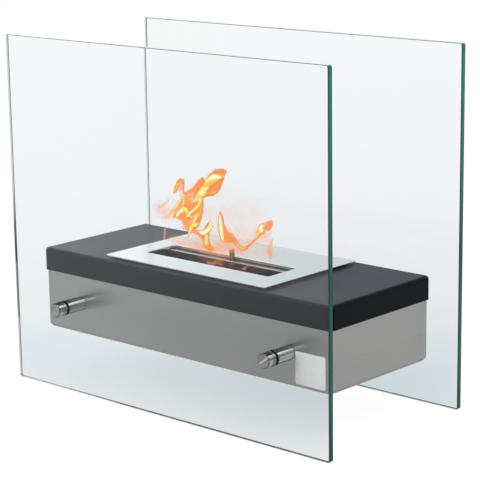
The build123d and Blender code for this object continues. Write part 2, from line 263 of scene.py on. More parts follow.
def zinc(name):
    m, t = new_material(name)
    co = object_coords(t)
    v = add(t, "ShaderNodeTexVoronoi", {"Vector": co, "Scale": 700.0}, feature="F1").outputs[0]
    n = noise_tex(t, co, 260.0, 3.0, 0.6)
    s = math_node(t, "ADD", math_node(t, "MULTIPLY", v, 0.5), math_node(t, "MULTIPLY", n, 0.5))
    col = ramp(t, s, [(0.25, (0.50, 0.51, 0.52)), (0.65, (0.74, 0.75, 0.77))])
    bp = add(t, "ShaderNodeBump", {"Height": s, "Strength": 0.2, "Distance": 0.00006})
    b = principled(t, {"Base Color": col, "Metallic": 1.0, "Roughness": map_range(t, s, 0.2, 0.7, 0.38, 0.26), "Normal": bp.outputs[0]})
    finish_material(t, b)
    return m


def rubber(name):
    m, t = new_material(name)
    co = object_coords(t)
    n = noise_tex(t, co, 900.0, 3.0, 0.6)
    col = ramp(t, n, [(0.3, (0.010, 0.010, 0.011)), (0.7, (0.026, 0.026, 0.027))])
    bp = add(t, "ShaderNodeBump", {"Height": n, "Strength": 0.3, "Distance": 0.00008})
    b = principled(t, {"Base Color": col, "Roughness": map_range(t, n, 0.3, 0.7, 0.55, 0.75), "Normal": bp.outputs[0]})
    finish_material(t, b)
    return m


def clear_plastic(name):
    m, t = new_material(name)
    co = object_coords(t)
    n = noise_tex(t, co, 500.0, 2.0, 0.5)
    col = ramp(t, n, [(0.3, (0.70, 0.73, 0.72)), (0.7, (0.84, 0.86, 0.85))])
    bp = add(t, "ShaderNodeBump", {"Height": n, "Strength": 0.15, "Distance": 0.00005})
    b = principled(t, {"Base Color": col, "Roughness": map_range(t, n, 0.3, 0.7, 0.22, 0.34), "Normal": bp.outputs[0]})
    b.inputs["Subsurface Weight"].default_value = 0.0
    finish_material(t, b)
    return m


def label_film(name):
    m, t = new_material(name)
    co = object_coords(t)
    n = noise_tex(t, co, 650.0, 3.0, 0.55)
    p = noise_tex(t, co, 60.0, 2.0, 0.5)
    v = math_node(t, "ADD", math_node(t, "MULTIPLY", n, 0.5), math_node(t, "MULTIPLY", p, 0.5))
    col = ramp(t, v, [(0.35, (0.76, 0.76, 0.75)), (0.65, (0.83, 0.83, 0.82))])
    bp = add(t, "ShaderNodeBump", {"Height": n, "Strength": 0.08, "Distance": 0.00004})
    b = principled(t, {"Base Color": col, "Roughness": map_range(t, v, 0.35, 0.65, 0.36, 0.46), "Normal": bp.outputs[0]})
    finish_material(t, b)
    return m


def ceramic_fibre(name):
    m, t = new_material(name)
    co = object_coords(t)
    f = noise_tex(t, scaled(t, co, (1.0, 3.0, 1.0)), 700.0, 6.0, 0.75, 0.6)
    soot = noise_tex(t, co, 45.0, 4.0, 0.6)
    col = ramp(t, f, [(0.3, (0.56, 0.54, 0.49)), (0.7, (0.82, 0.80, 0.75))])
    col = mix_rgb(t, map_range(t, soot, 0.45, 0.75, 0.0, 0.7), col, (0.16, 0.13, 0.10))
    bp = add(t, "ShaderNodeBump", {"Height": f, "Strength": 0.7, "Distance": 0.0004})
    b = principled(t, {"Base Color": col, "Roughness": map_range(t, f, 0.3, 0.7, 0.85, 1.0), "Normal": bp.outputs[0]})
    finish_material(t, b)
    return m


def glass_face(name, gloss=0.75):
    m, t = new_material(name)
    co = object_coords(t)
    n = noise_tex(t, scaled(t, co, (1, 1, 0.5)), 9.0, 3.0, 0.5)
    col = ramp(t, n, [(0.3, (0.980, 0.996, 0.998)), (0.7, (0.988, 0.999, 1.0))])
    b = principled(t, {"Base Color": col, "Roughness": 0.0, "IOR": 1.45, "Transmission Weight": 1.0,
                       "Specular Tint": (gloss, gloss, gloss, 1.0)})
    clear = add(t, "ShaderNodeBsdfTransparent", {0: (0.95, 0.97, 0.96, 1)})
    lp = add(t, "ShaderNodeLightPath")
    mix = add(t, "ShaderNodeMixShader", {0: lp.outputs["Is Shadow Ray"], 1: b.outputs[0], 2: clear.outputs[0]})
    finish_material(t, b, mix)
    return m


def glass_edge(name, dark=1.0):
    """Ground and polished edge: teal, painted darker along the face it is seen past, painted light and shade along its
    height, with a painted paler top and a painted glow; from inside the panel it mirrors.
    """
    m, t = new_material(name)
    co = object_coords(t)
    n = noise_tex(t, scaled(t, co, (40, 40, 9)), 1.0, 3.0, 0.6)
    fine = noise_tex(t, co, 800.0, 2.0, 0.6)
    s = add(t, "ShaderNodeSeparateXYZ", {0: co})
    up = map_range(t, s.outputs[2], 0.0, 0.30, 0.0, 1.0)
    # the teal is painted lighter and darker along the height: painted light and shade
    stops = [(0.0, (0.005, 0.050, 0.038)), (0.18, (0.009, 0.075, 0.056)), (0.44, (0.005, 0.054, 0.039)),
             (0.70, (0.008, 0.108, 0.078)), (0.97, (0.010, 0.125, 0.090)), (1.0, (0.030, 0.075, 0.062))]
    teal = ramp(t, up, [(p, tuple(c * dark for c in q)) for p, q in stops])
    across = math_node(t, "SUBTRACT", s.outputs[1], math_node(t, "MULTIPLY", math_node(t, "SIGN", s.outputs[1]), PANEL_Y))
    # painted light and shade across the edge's width
    painted_shading_band = ramp(t, map_range(t, across, -0.002, 0.002, 0.0, 1.0),
                [(0.0, (0.45, 0.45, 0.45)), (0.22, (0.62, 0.62, 0.62)), (0.42, (1.12, 1.12, 1.12)), (0.72, (0.95, 0.95, 0.95)), (1.0, (0.62, 0.62, 0.62))])
    teal = mix_rgb(t, 1.0, teal, painted_shading_band, "MULTIPLY")
    teal = mix_rgb(t, map_range(t, n, 0.35, 0.65, 0.0, 0.25), teal, (0.018 * dark, 0.080 * dark, 0.066 * dark))
    g = add(t, "ShaderNodeNewGeometry")
    top = map_range(t, add(t, "ShaderNodeSeparateXYZ", {0: g.outputs["Normal"]}).outputs[2], 0.85, 0.97, 0.0, 1.0)
    teal = mix_rgb(t, top, teal, (0.26, 0.31, 0.295))                             # the level top edge is painted paler: painted reflection
    col = mix_rgb(t, g.outputs["Backfacing"], teal, (0.90, 0.95, 0.93))
    # the edge is given a painted glow by emission, though it is no lamp
    glow = mix_rgb(t, g.outputs["Backfacing"], teal, (0.0, 0.0, 0.0))
    bp = add(t, "ShaderNodeBump", {"Height": fine, "Strength": 0.05, "Distance": 0.00003})
    b = principled(t, {"Base Color": col, "Roughness": map_range(t, n, 0.3, 0.7, 0.10, 0.20), "IOR": 1.34,
                       "Metallic": g.outputs["Backfacing"], "Normal": bp.outputs[0],
                       "Emission Color": glow, "Emission Strength": 0.55})
    finish_material(t, b)
    m.cycles.emission_sampling = "NONE"
    return m


def flame_material(name):
    m, t = new_material(name)
    co = object_coords(t)
    temp = add(t, "ShaderNodeAttribute", attribute_name="temp", attribute_type="GEOMETRY").outputs["Fac"]
    dens = add(t, "ShaderNodeAttribute", attribute_name="dens", attribute_type="GEOMETRY").outputs["Fac"]
    along = add(t, "ShaderNodeMapping", {"Vector": co, "Rotation": (0.0, math.radians(-35), 0.0), "Scale": (900.0, 1.0, 250.0)})
    n = noise_tex(t, along.outputs[0], 1.0, 3.0, 0.6, 0.4)
    soft = noise_tex(t, co, 85.0, 2.0, 0.5)
    tt = math_node(t, "ADD", temp, map_range(t, n, 0.3, 0.7, -0.08, 0.08), clamp=True)
    col = ramp(t, tt, [(0.0, (0.70, 0.28, 0.32)), (0.12, (0.98, 0.37, 0.10)), (0.25, (1.0, 0.275, 0.030)),
                       (0.38, (0.80, 0.225, 0.018)), (0.55, (0.98, 0.43, 0.045)), (0.72, (1.0, 0.73, 0.10)),
                       (0.88, (1.0, 0.91, 0.24)), (1.0, (1.0, 1.0, 0.78))])
    thin = map_range(t, dens, 0.0, 0.25, 1.0, 0.0)           # faint haze varies in soft patches
    vary = math_node(t, "ADD", 1.0, math_node(t, "MULTIPLY", thin, map_range(t, soft, 0.3, 0.7, -0.4, 0.4)))
    a = math_node(t, "MULTIPLY", dens, map_range(t, n, 0.3, 0.7, 0.93, 1.07))
    a = math_node(t, "MULTIPLY", a, vary, clamp=True)
    b = principled(t, {"Base Color": (0, 0, 0, 1), "Roughness": 1.0, "Specular IOR Level": 0.0,
                       "Emission Color": col, "Emission Strength": 1.0, "Alpha": a})
    finish_material(t, b)
    m.cycles.emission_sampling = "NONE"
    return m


M = {
    "brushed_steel": brushed("brushed_steel_lines", (0.455, 0.462, 0.450), 0.34, (9, 9, 2600), 0.022, 0.03, 0.05, 0.75, "round", patchy=0.10),
    "bright_steel": brushed("bright_steel_satin", (0.80, 0.80, 0.778), 0.24, (12, 2400, 2400), 0.018, 0.02, 0.03, 0.35, (1, 0, 0), patchy=0.08),
    "satin_steel": brushed("turned_steel_polished_painted_reflections", (0.98, 0.98, 0.96), 0.26, (3200, 1500, 1), 0.015, 0.03, 0.05, 0.85, "turned", turned=True, patchy=0.05, tint_and_painted_light=painted_turned_reflections),
    "burner_steel": brushed("burner_steel_heat_tinted", (0.31, 0.305, 0.295), 0.34, (30, 30, 900), 0.10, 0.06, 0.12, tint_and_painted_light=heat_tint),
    "zinc_steel": zinc("zinc_plate"),
    "black_powder_coat": powder_coat("black_powder_coat_satin", (0.0045, 0.0050, 0.0062), 0.36, 1.17),
    "black_rubber": rubber("black_rubber_matt"),
    "clear_plastic": clear_plastic("clear_plastic_sleeve"),
    "white_label": label_film("blank_label_film"),
    "ceramic_fibre": ceramic_fibre("ceramic_fibre_sooted"),
}
GLASS, GLASS_REAR = glass_face("clear_glass_face"), glass_face("clear_glass_face_rear", 0.5)
# the foot material is the edge painted darker: a painted contact shadow
EDGE, EDGE_DARK = glass_edge("clear_glass_edge_painted_light"), glass_edge("clear_glass_foot_painted_shadow", 0.35)
FLAME = flame_material("flame_glow")

for row in frame["record"]["subparts"]:
    o = nodes[row["node"]]
    if row["material_slot"] in M and o.data.materials:
        o.data.materials[0] = M[row["material_slot"]]

damper_top = brushed("damper_steel_warm", (0.66, 0.65, 0.63), 0.28, (12, 2400, 2400), 0.05, 0.05, 0.08, 0.3, (1, 0, 0))
nodes["damper_plate"].data.materials[0] = damper_top


def painted_pin_reflections(t, co, col):
    """Painted reflections on the polished pin: the studio painted into its colour in upright stripes."""
    g = add(t, "ShaderNodeNewGeometry")
    d = add(t, "ShaderNodeVectorMath", {0: g.outputs["Normal"], 1: (0.741, 0.672, 0.0)}, operation="DOT_PRODUCT").outputs["Value"]
    # light and dark stripes painted by the direction the surface faces: painted highlight and shade
    v = [(0.0, 0.14), (0.14, 0.20), (0.28, 0.45), (0.36, 1.0), (0.46, 1.0), (0.54, 0.40), (0.66, 0.16), (0.86, 0.20), (1.0, 0.45)]
    return mix_rgb(t, 1.0, col, ramp(t, map_range(t, d, -1.0, 1.0, 0.0, 1.0), [(p, (c, c * 0.96, c * 0.90)) for p, c in v]), "MULTIPLY")


nodes["damper_pin"].data.materials[0] = brushed("pin_steel_warm_painted_reflections", (0.92, 0.80, 0.62), 0.22, (900, 900, 40), 0.10, 0.05, 0.10, tint_and_painted_light=painted_pin_reflections)

# ------------------------------------------------------------------ pieces


def link(o):
    scene.collection.objects.link(o)
    return o


def glass_panel(name, face, node):
    """The panel as packed, with its edge faces and its foot told apart from its clear faces."""
    me = nodes[node].data.copy()
    me.name = name
    me.materials.clear()
    for m in (face, EDGE, EDGE_DARK):
        me.materials.append(m)
    for p in me.polygons:
        c, n = p.center, p.normal
        if abs(n.y) > 0.9:
            p.material_index = 0
        # the foot faces take the edge material painted darker, a painted contact shadow
        elif c.z < 0.0012 and n.z < -0.3:
            p.material_index = 2
        else:
            p.material_index = 1
    o = link(bpy.data.objects.new(name, me))
    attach(o, "frame")
    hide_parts(node)
    return o


glass_panel("glass_panel_front", GLASS, "glass_front")
glass_panel("glass_panel_rear", GLASS_REAR, "glass_rear")


def rounded_pad(name, x0, x1, y0, y1, z0, z1, r, nx, ny, nz):
    """A closed block of soft fibre: rounded, crowned, its sides pulled in, its surface lumpy."""
    cx, cy, cz = (x0 + x1) / 2, (y0 + y1) / 2, (z0 + z1) / 2
    hx, hy, hz = (x1 - x0) / 2, (y1 - y0) / 2, (z1 - z0) / 2
    bm = bmesh.new()
    grid = {}

    def vert(i, j, k):
        key = (i, j, k)
        if key not in grid:
            u, v, w = 2 * i / nx - 1, 2 * j / ny - 1, 2 * k / nz - 1
            grid[key] = bm.verts.new((u * hx, v * hy, w * hz))
        return grid[key]

    for i in range(nx):
        for j in range(ny):
            bm.faces.new([vert(i, j, nz), vert(i + 1, j, nz), vert(i + 1, j + 1, nz), vert(i, j + 1, nz)])
            bm.faces.new([vert(i, j, 0), vert(i, j + 1, 0), vert(i + 1, j + 1, 0), vert(i + 1, j, 0)])
    for i in range(nx):
        for k in range(nz):
            bm.faces.new([vert(i, 0, k), vert(i + 1, 0, k), vert(i + 1, 0, k + 1), vert(i, 0, k + 1)])
            bm.faces.new([vert(i, ny, k), vert(i, ny, k + 1), vert(i + 1, ny, k + 1), vert(i + 1, ny, k)])
    for j in range(ny):
        for k in range(nz):
            bm.faces.new([vert(0, j, k), vert(0, j, k + 1), vert(0, j + 1, k + 1), vert(0, j + 1, k)])
            bm.faces.new([vert(nx, j, k), vert(nx, j + 1, k), vert(nx, j + 1, k + 1), vert(nx, j, k + 1)])
    for v in bm.verts:
        p = v.co
        q = Vector((max(-hx + r, min(hx - r, p.x)), max(-hy + r, min(hy - r, p.y)), max(-hz + r, min(hz - r, p.z))))
        d = p - q
        if d.length > 1e-9:
            p = q + d.normalized() * r
        u, w, h = p.x / hx, p.y / hy, p.z / hz
        pull = 1.0 - 0.010 * (1 - h * h)                    # sides pull in a little at mid height
        p = Vector((p.x * pull, p.y * (1.0 - 0.02 * (1 - h * h)), p.z))
        edge = max(abs(u) ** 6, abs(w) ** 6)
        if p.z > 0:
            p.z -= 0.9 * edge * MM + 0.5 * MM               # crowned top under the screen
        s = Vector((p.x * 70, p.y * 70, p.z * 70))
        lump = noise.fractal(s, 1.0, 2.0, 3) * 0.45 * MM
        fibre = noise.noise(Vector((p.x * 420, p.y * 900, p.z * 420))) * 0.16 * MM
        n = d.normalized() if d.length > 1e-9 else Vector((0, 0, 1 if p.z > 0 else -1))
        p = p + n * (lump + fibre - 0.35 * MM)
        v.co = Vector((p.x + cx, p.y + cy, p.z + cz))
    for v in bm.verts:
        v.co.x = max(x0 + 0.1 * MM, min(x1 - 0.1 * MM, v.co.x))
        v.co.y = max(y0 + 0.1 * MM, min(y1 - 0.1 * MM, v.co.y))
        v.co.z = max(z0 + 0.02 * MM, min(z1 - 0.15 * MM, v.co.z))
    bmesh.ops.recalc_face_normals(bm, faces=bm.faces)
    me = bpy.data.meshes.new(name)
    bm.to_mesh(me)
    bm.free()
    for p in me.polygons:
        p.use_smooth = True
    return link(bpy.data.objects.new(name, me))


plo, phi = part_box("fibre_pad")
pad = rounded_pad("ceramic_fibre_pad", plo.x, phi.x, plo.y, phi.y, plo.z, phi.z, 3.0 * MM, 120, 62, 18)
pad.data.materials.append(M["ceramic_fibre"])
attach(pad, "burner")
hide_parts("fibre_pad")

# ------------------------------------------------------------------ flames
# A flame is a few thin waving sheets over the mouth. Each sheet is drawn as strokes, painted one over another:
# (heat in the core 0-1, heat at the rim, density, crispness, [(x, z, half width) in mm along the stroke]).
FLAMES = {
    'veil': [
        (0.00, 0.00, 0.06, 0.00, [(-62.0, 110.0, 4.0), (-30.0, 108.0, 6.0), (0.0, 108.0, 6.0), (30.0, 108.0, 6.0), (62.0, 110.0, 4.0)]),
        (0.00, 0.00, 0.05, 0.00, [(-58.0, 121.0, 6.0), (-30.0, 118.0, 9.0), (0.0, 117.0, 9.0), (30.0, 118.0, 9.0), (58.0, 121.0, 6.0)]),
        (0.13, 0.10, 0.10, 0.00, [(-65.3, 148.9, 6.79), (-41.3, 157.7, 14.27), (-5.4, 167.6, 19.79), (28.4, 164.4, 16.25), (51.7, 156.4, 8.86)]),
        (0.10, 0.08, 0.09, 0.00, [(-15.5, 153.3, 8.31), (9.4, 157.0, 10.66), (30.9, 152.3, 9.75), (43.9, 148.9, 6.47)]),
        (0.15, 0.11, 0.19, 0.00, [(-51.8, 129.0, 4.23), (-34.0, 128.8, 7.56), (-5.9, 135.0, 11.61), (25.8, 141.7, 10.60), (50.1, 143.1, 7.27)]),
        (0.12, 0.10, 0.18, 0.00, [(-42.6, 126.0, 2.53), (-25.5, 125.6, 4.60), (-8.5, 124.4, 6.65), (20.5, 128.2, 6.56), (44.7, 131.0, 5.67), (58.4, 131.1, 4.03)]),
        (0.20, 0.16, 0.42, 0.00, [(-21.3, 125.3, 3.34), (-8.5, 125.7, 4.16), (3.3, 128.3, 5.37), (17.0, 130.2, 4.10), (26.4, 128.3, 3.27)]),
        (0.20, 0.16, 0.17, 0.00, [(-49.5, 126.8, 2.54), (-36.1, 128.6, 4.62), (-21.4, 128.7, 5.01), (-1.4, 130.6, 5.38), (25.7, 136.7, 5.31)]),
        (0.22, 0.16, 0.13, 0.00, [(-65.1, 156.7, 5.09), (-61.7, 150.2, 5.93), (-58.4, 144.6, 4.23)]),
        (0.08, 0.04, 0.30, 0.10, [(-25.6, 128.1, 1.84), (-21.4, 127.4, 2.34), (-17.1, 126.2, 2.09)]),
        (0.20, 0.14, 0.23, 0.00, [(-68.7, 153.6, 5.10), (-59.4, 151.4, 6.35), (-50.6, 150.7, 5.48)]),
        (0.16, 0.12, 0.28, 0.10, [(-61.9, 145.4, 1.36), (-53.8, 146.5, 1.86), (-46.3, 148.6, 1.68)]),
        (0.10, 0.06, 0.16, 0.00, [(44.1, 145.7, 4.05), (52.2, 140.1, 5.65), (57.4, 132.6, 4.84)]),
        (0.12, 0.08, 0.24, 0.10, [(-18.1, 122.1, 1.34), (-6.3, 121.8, 1.99), (6.4, 122.2, 1.98), (15.0, 122.2, 1.15)]),
        (0.20, 0.15, 0.33, 0.20, [(-8.5, 119.2, 0.75), (0.4, 118.9, 0.99), (9.8, 119.1, 0.83)]),
    ],
    'ember': [
        (0.20, 0.16, 0.09, 0.00, [(-41.1, 109.9, 1.88), (-27.5, 109.5, 3.39), (-14.6, 109.7, 3.37), (-3.6, 110.4, 2.10)]),
        (0.18, 0.14, 0.50, 0.20, [(-32.2, 106.9, 0.85), (-27.6, 107.0, 1.36), (-22.1, 108.1, 1.18)]),
        (0.40, 0.22, 0.42, 0.20, [(-22.1, 109.9, 0.85), (-18.6, 109.1, 1.52), (-15.7, 107.6, 1.18)]),
        (0.24, 0.20, 0.55, 0.30, [(-21.4, 111.9, 0.59), (-17.9, 111.7, 1.01), (-14.5, 111.2, 0.67)]),
        (0.02, 0.00, 0.38, 0.20, [(7.4, 107.2, 0.75), (10.0, 108.6, 1.42), (12.3, 109.8, 0.75)]),
        (0.02, 0.00, 0.60, 0.30, [(9.0, 107.0, 0.42), (10.4, 107.1, 0.58)]),
    ],
    'main': [
        (0.15, 0.12, 0.80, 0.25, [(-33.8, 157.1, 2.09), (-32.8, 164.0, 4.01), (-30.2, 168.8, 4.34), (-26.5, 172.9, 3.75), (-22.6, 177.5, 3.16), (-20.3, 181.5, 2.49), (-19.3, 184.2, 1.16)]),
        (0.25, 0.20, 0.96, 0.50, [(-36.6, 169.3, 1.09), (-32.4, 171.3, 1.67), (-27.1, 174.1, 2.33), (-23.1, 177.9, 3.24), (-20.4, 181.1, 2.74), (-19.6, 183.7, 1.33)]),
        (0.25, 0.20, 0.93, 0.40, [(-24.0, 173.1, 2.16), (-25.2, 168.0, 1.67), (-24.5, 163.9, 1.67), (-25.2, 160.5, 1.67)]),
        (0.22, 0.18, 0.95, 0.50, [(-32.6, 161.5, 1.84), (-29.1, 160.5, 2.34), (-26.2, 161.7, 2.00), (-24.2, 163.9, 1.33)]),
        (0.22, 0.18, 0.93, 0.50, [(-30.7, 156.2, 1.50), (-27.9, 157.9, 1.84), (-25.2, 160.5, 1.50)]),
        (0.25, 0.18, 0.95, 0.45, [(-36.2, 159.8, 1.00), (-32.9, 158.2, 1.67), (-29.5, 156.9, 1.50), (-26.5, 159.1, 1.50)]),
        (0.22, 0.16, 0.85, 0.40, [(-37.0, 168.6, 1.00), (-34.9, 166.3, 1.34), (-34.4, 162.1, 1.17)]),
        (0.26, 0.30, 0.98, 0.70, [(-21.6, 165.0, 1.50), (-19.8, 170.2, 2.99), (-15.4, 175.8, 4.31), (-8.7, 182.2, 5.28), (-1.1, 187.8, 5.42), (4.6, 191.4, 4.09), (9.1, 193.4, 2.28), (11.4, 194.3, 0.90)]),
        (0.25, 0.34, 0.98, 0.60, [(-15.5, 170.3, 1.16), (-9.6, 173.6, 2.73), (-3.6, 178.1, 3.62), (1.4, 182.9, 2.79), (6.5, 187.9, 2.13)]),
        (0.60, 0.46, 0.95, 0.40, [(-19.3, 175.3, 1.83), (-14.0, 178.9, 3.48), (-8.1, 182.1, 3.80), (-1.5, 185.6, 3.45), (4.9, 188.1, 1.80)]),
        (0.97, 0.70, 0.98, 0.50, [(-14.2, 181.7, 0.99), (-8.9, 185.2, 2.56), (-2.7, 187.8, 3.37), (2.7, 188.3, 2.62), (6.2, 188.9, 1.06)]),
        (0.70, 0.58, 0.90, 0.30, [(-16.6, 179.0, 0.75), (-10.7, 181.7, 1.32), (-4.4, 184.1, 1.23), (1.3, 186.3, 0.82)]),
        (0.88, 0.64, 0.98, 0.60, [(-25.7, 164.1, 0.92), (-23.2, 167.2, 2.33), (-20.1, 171.0, 3.49), (-16.8, 174.5, 3.57), (-13.6, 176.3, 2.24), (-10.4, 177.0, 0.83)]),
        (0.94, 0.84, 0.95, 0.40, [(-22.9, 167.0, 1.08), (-20.1, 170.6, 2.16), (-17.1, 173.5, 1.99)]),
        (0.40, 0.30, 0.92, 0.40, [(-14.1, 173.3, 0.58), (-10.0, 176.7, 0.74), (-4.4, 180.2, 0.74), (1.6, 183.9, 0.66), (6.7, 187.5, 0.49)]),
        (0.40, 0.33, 0.92, 0.40, [(-19.1, 167.6, 0.50), (-14.4, 169.5, 0.75), (-8.6, 170.8, 0.74), (-3.0, 173.5, 0.74), (1.6, 177.4, 0.66), (4.7, 182.1, 0.57), (8.7, 188.6, 0.49)]),
        (0.66, 0.45, 0.94, 0.50, [(-10.8, 172.0, 0.41), (-7.0, 173.4, 0.91), (-2.5, 175.2, 0.66)]),
        (0.38, 0.30, 0.85, 0.40, [(-12.3, 184.4, 0.50), (-7.1, 188.4, 0.58), (-1.2, 191.6, 0.57), (4.2, 192.8, 0.41)]),
        (0.27, 0.34, 0.96, 0.60, [(-19.8, 166.5, 0.91), (-19.9, 161.9, 1.41), (-20.3, 156.8, 1.75), (-21.3, 152.1, 1.92), (-22.5, 147.8, 2.00), (-23.5, 144.0, 1.67), (-26.3, 140.9, 1.50)]),
        (0.60, 0.42, 0.92, 0.50, [(-20.4, 163.5, 0.75), (-20.4, 157.6, 1.17), (-21.0, 153.4, 1.17), (-21.7, 149.6, 0.75)]),
        (0.40, 0.34, 0.85, 0.40, [(-21.9, 160.0, 0.42), (-22.5, 155.8, 0.58), (-23.1, 151.5, 0.58), (-24.3, 147.2, 0.50)]),
        (0.22, 0.16, 0.93, 0.40, [(-44.9, 147.7, 0.93), (-40.1, 148.5, 2.69), (-35.6, 147.4, 3.85), (-34.1, 143.6, 3.52), (-32.5, 139.5, 2.18)]),
        (0.19, 0.14, 0.75, 0.20, [(-36.7, 148.4, 1.34), (-33.4, 146.8, 1.84), (-33.6, 142.8, 1.34)]),
        (0.25, 0.20, 0.93, 0.40, [(-41.2, 149.5, 1.68), (-37.3, 152.3, 2.09), (-34.0, 150.5, 1.84), (-30.3, 148.3, 1.67)]),
        (0.24, 0.18, 0.93, 0.50, [(-27.1, 153.2, 1.67), (-25.0, 155.1, 1.92), (-23.9, 157.3, 1.33)]),
        (0.20, 0.14, 0.86, 0.30, [(-29.0, 152.6, 1.34), (-27.0, 149.5, 1.67), (-28.3, 145.1, 1.67), (-30.6, 141.5, 1.51)]),
        (0.18, 0.14, 0.84, 0.30, [(-48.8, 148.0, 1.35), (-45.2, 152.4, 2.35), (-41.9, 157.1, 1.85), (-39.6, 161.2, 1.42), (-38.6, 164.2, 0.84)]),
        (0.24, 0.20, 0.93, 0.40, [(-31.1, 138.8, 1.00), (-26.3, 138.6, 1.84), (-22.1, 138.0, 2.17), (-18.0, 135.8, 2.17), (-15.3, 133.1, 1.66)]),
        (0.14, 0.08, 0.55, 0.20, [(-31.5, 137.9, 1.00), (-32.2, 134.0, 0.92), (-31.9, 130.7, 0.34)]),
        (0.60, 0.36, 0.80, 0.50, [(-39.4, 141.1, 0.42), (-38.4, 139.5, 0.76), (-36.6, 139.0, 0.42)]),
        (1.00, 0.45, 1.00, 0.80, [(-45.1, 148.7, 0.67), (-43.3, 151.2, 1.43), (-40.6, 153.7, 1.68), (-38.4, 155.6, 2.01), (-37.4, 157.6, 1.34)]),
        (0.86, 0.40, 0.98, 0.75, [(-37.1, 157.5, 1.26), (-35.1, 157.1, 2.01), (-33.9, 155.3, 2.26), (-32.8, 153.6, 1.51)]),
        (0.82, 0.38, 0.98, 0.75, [(-37.1, 168.7, 0.67), (-36.9, 166.1, 1.17), (-37.5, 162.7, 1.00), (-38.0, 159.2, 0.92)]),
        (0.92, 0.40, 0.98, 0.75, [(-21.0, 168.0, 1.91), (-21.5, 164.2, 1.66), (-23.0, 160.7, 1.33), (-26.2, 157.5, 1.17), (-29.4, 154.5, 1.34), (-32.3, 151.6, 1.51), (-33.6, 150.3, 0.59)]),
        (0.92, 0.40, 0.98, 0.75, [(-22.7, 154.9, 0.42), (-23.8, 151.5, 0.92), (-25.6, 147.9, 1.25), (-27.3, 144.1, 1.75), (-29.3, 140.3, 1.42), (-30.8, 137.2, 0.92), (-31.5, 134.9, 0.34)]),
        (0.86, 0.42, 0.98, 0.70, [(-27.2, 144.0, 1.67), (-24.7, 144.2, 2.17), (-22.4, 145.8, 1.17)]),
    ],
    'left': [
        (0.10, 0.06, 0.45, 0.10, [(-46.8, 173.9, 1.26), (-45.3, 170.3, 1.93), (-44.0, 166.2, 1.68)]),
        (0.24, 0.16, 0.55, 0.20, [(-50.0, 168.6, 1.18), (-48.3, 171.7, 2.02), (-46.5, 174.0, 2.02), (-45.1, 172.0, 1.51)]),
        (0.28, 0.34, 0.93, 0.50, [(-52.1, 167.1, 0.59), (-50.9, 170.2, 1.18), (-49.6, 174.1, 1.43), (-48.0, 177.0, 1.68), (-46.2, 178.6, 1.60), (-44.1, 177.4, 1.34), (-43.3, 174.7, 0.92), (-43.0, 171.4, 0.76), (-42.3, 168.5, 0.67)]),
        (0.64, 0.36, 0.95, 0.60, [(-51.6, 168.9, 0.51), (-50.1, 172.0, 1.01), (-48.6, 174.9, 1.18), (-46.7, 176.4, 1.26), (-46.0, 176.1, 0.59)]),
        (0.26, 0.18, 0.60, 0.30, [(-48.2, 178.9, 0.67), (-45.8, 180.1, 0.84), (-42.7, 178.9, 0.67)]),
        (0.85, 0.34, 0.97, 0.70, [(-64.6, 144.3, 0.43), (-59.2, 147.4, 0.85), (-54.1, 151.3, 1.10), (-50.1, 155.4, 1.18), (-46.5, 159.7, 1.18), (-43.7, 163.0, 1.18), (-42.0, 165.7, 0.92)]),
        (0.44, 0.18, 0.38, 0.10, [(-71.7, 152.8, 1.36), (-64.9, 155.8, 1.53), (-60.2, 158.5, 1.27), (-57.3, 161.9, 0.68)]),
        (0.04, 0.01, 0.68, 0.35, [(-66.2, 136.3, 0.60), (-66.4, 132.7, 1.20), (-67.5, 128.5, 1.28), (-69.3, 124.2, 0.51)]),
    ],
    'mid': [
        (0.26, 0.22, 0.95, 0.50, [(-16.5, 137.7, 1.25), (-14.3, 135.0, 2.00), (-13.5, 131.7, 2.41), (-12.3, 128.5, 2.83), (-8.9, 126.4, 2.99), (-5.3, 126.5, 1.66)]),
        (0.25, 0.20, 0.92, 0.50, [(-21.7, 139.8, 1.00), (-17.7, 138.6, 2.08), (-12.9, 139.3, 2.66), (-8.7, 143.1, 1.90), (-5.8, 147.6, 1.32), (-5.0, 151.1, 0.58)]),
        (0.32, 0.26, 0.88, 0.40, [(-13.4, 143.5, 0.75), (-11.0, 145.4, 1.33), (-8.3, 148.0, 1.16), (-6.8, 149.8, 0.50)]),
        (0.40, 0.34, 0.88, 0.40, [(-8.7, 141.1, 0.50), (-9.4, 136.7, 0.66), (-9.7, 132.3, 0.75), (-7.8, 129.4, 0.75)]),
        (0.93, 0.40, 1.00, 0.75, [(-12.0, 139.3, 1.58), (-12.0, 135.4, 1.58), (-12.2, 131.9, 1.50), (-11.4, 129.0, 1.25)]),
        (0.62, 0.36, 0.92, 0.50, [(-11.5, 129.2, 0.83), (-9.6, 127.9, 0.75), (-7.3, 126.9, 0.42)]),
        (1.25, 0.46, 1.00, 0.85, [(-20.8, 139.5, 0.58), (-17.4, 138.7, 2.00), (-14.1, 139.5, 2.33), (-10.4, 141.8, 2.16), (-7.1, 144.5, 2.15), (-5.2, 147.3, 1.90), (-4.6, 150.7, 0.66)]),
        (0.93, 0.42, 0.98, 0.70, [(-6.0, 146.3, 0.91), (-4.6, 144.5, 0.83), (-3.1, 143.4, 0.33)]),
        (0.20, 0.14, 0.95, 0.40, [(8.5, 136.2, 1.32), (11.7, 136.2, 2.30), (16.1, 138.1, 2.95)]),
        (0.25, 0.20, 0.97, 0.55, [(12.0, 149.7, 0.57), (12.9, 146.3, 1.31), (14.4, 143.1, 2.46), (16.6, 140.3, 3.60), (19.2, 138.6, 3.11), (22.9, 137.7, 1.80)]),
        (0.22, 0.16, 0.80, 0.30, [(18.1, 144.7, 0.65), (20.8, 142.4, 1.14), (23.3, 140.0, 1.14)]),
